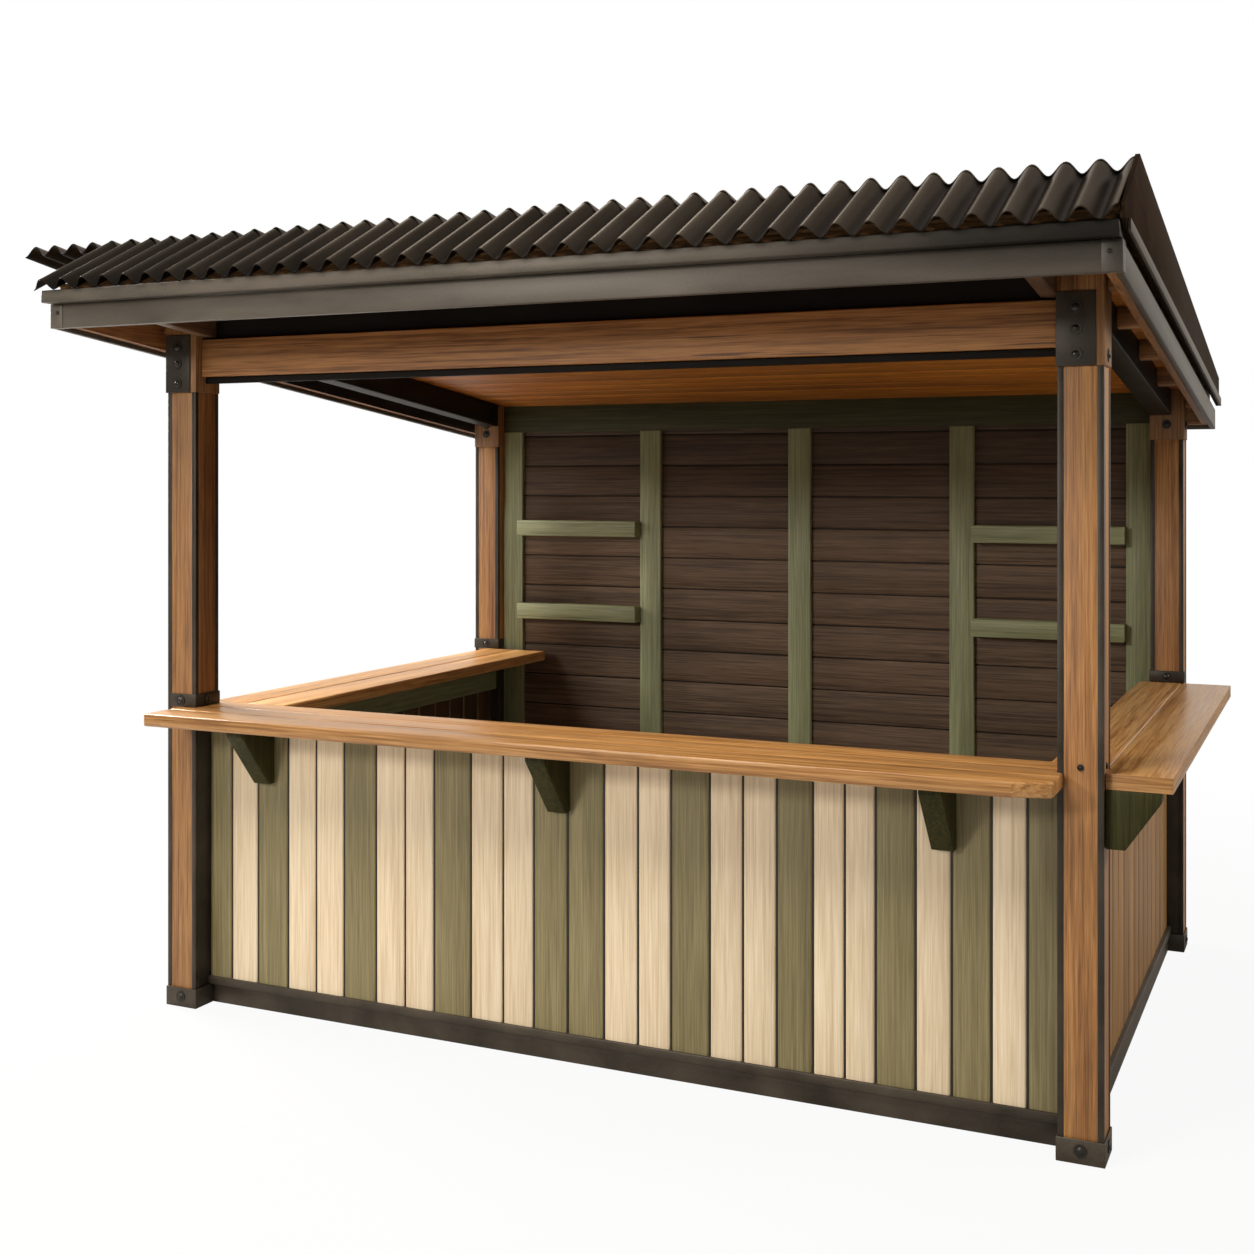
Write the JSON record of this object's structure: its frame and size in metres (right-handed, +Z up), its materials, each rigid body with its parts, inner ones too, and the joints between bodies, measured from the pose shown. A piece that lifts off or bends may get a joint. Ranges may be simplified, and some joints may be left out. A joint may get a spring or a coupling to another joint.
{
  "type": "wooden market stall",
  "caption": "Open timber market stall with steel-edged posts, a wraparound counter over boarded panels, a battened back wall and a corrugated two-slope roof.",
  "frame": {"origin": "centre of the overall footprint at ground level", "axes": "+X to the right along the serving front, +Y from the front to the back wall, +Z up"},
  "size_m": [3.7484, 2.8138, 2.6153],
  "materials": {
    "post_wood": "oiled softwood with straight grain",
    "dark_steel": "satin dark bronze-grey paint",
    "panel_paint": "upright boards in cream and olive green stain",
    "side_boards": "upright oiled boards",
    "green_paint": "satin sage green paint on wood",
    "counter_wood": "honey oiled planks",
    "wall_boards": "dark brown stained horizontal boards",
    "roof_timber": "warm oiled boards",
    "bronze_trim": "satin bronze-grey coated metal",
    "roof_sheet": "dark coated corrugated metal with a soft sheen"
  },
  "bodies": {
    "root": {"post_front_left": "post_wood", "post_front_right": "post_wood", "post_back_left": "post_wood", "post_back_right": "post_wood", "head_blocks": "post_wood", "front_beam": "post_wood", "corner_angles": "dark_steel", "shoes": "dark_steel", "head_plates": "dark_steel", "post_collars": "dark_steel", "beam_infill": "dark_steel", "side_beams": "dark_steel", "base_rails": "dark_steel", "drip_strips": "dark_steel", "front_panel": "panel_paint", "left_panel": "side_boards", "right_panel": "side_boards", "side_ledgers": "green_paint", "front_brackets": "green_paint", "right_bracket": "green_paint", "wall_battens": "green_paint", "wall_top_rail": "green_paint", "wall_ledges": "green_paint", "front_counter": "counter_wood", "left_counter": "counter_wood", "right_counter": "counter_wood", "back_wall": "wall_boards", "rafters": "roof_timber", "lookouts": "roof_timber", "cross_rims": "roof_timber", "side_rims": "roof_timber", "ceiling_deck": "roof_timber", "eave_batten": "roof_timber", "ridge_board": "roof_timber", "firrings": "roof_timber", "front_fascia": "bronze_trim", "side_fascias": "bronze_trim", "back_fascia": "bronze_trim", "fascia_corners": "bronze_trim", "eave_strip": "bronze_trim", "right_barge": "bronze_trim", "barge_lip": "bronze_trim", "left_gable": "bronze_trim", "front_sheet": "roof_sheet", "back_sheet": "roof_sheet"}
  },
  "joints": []
}
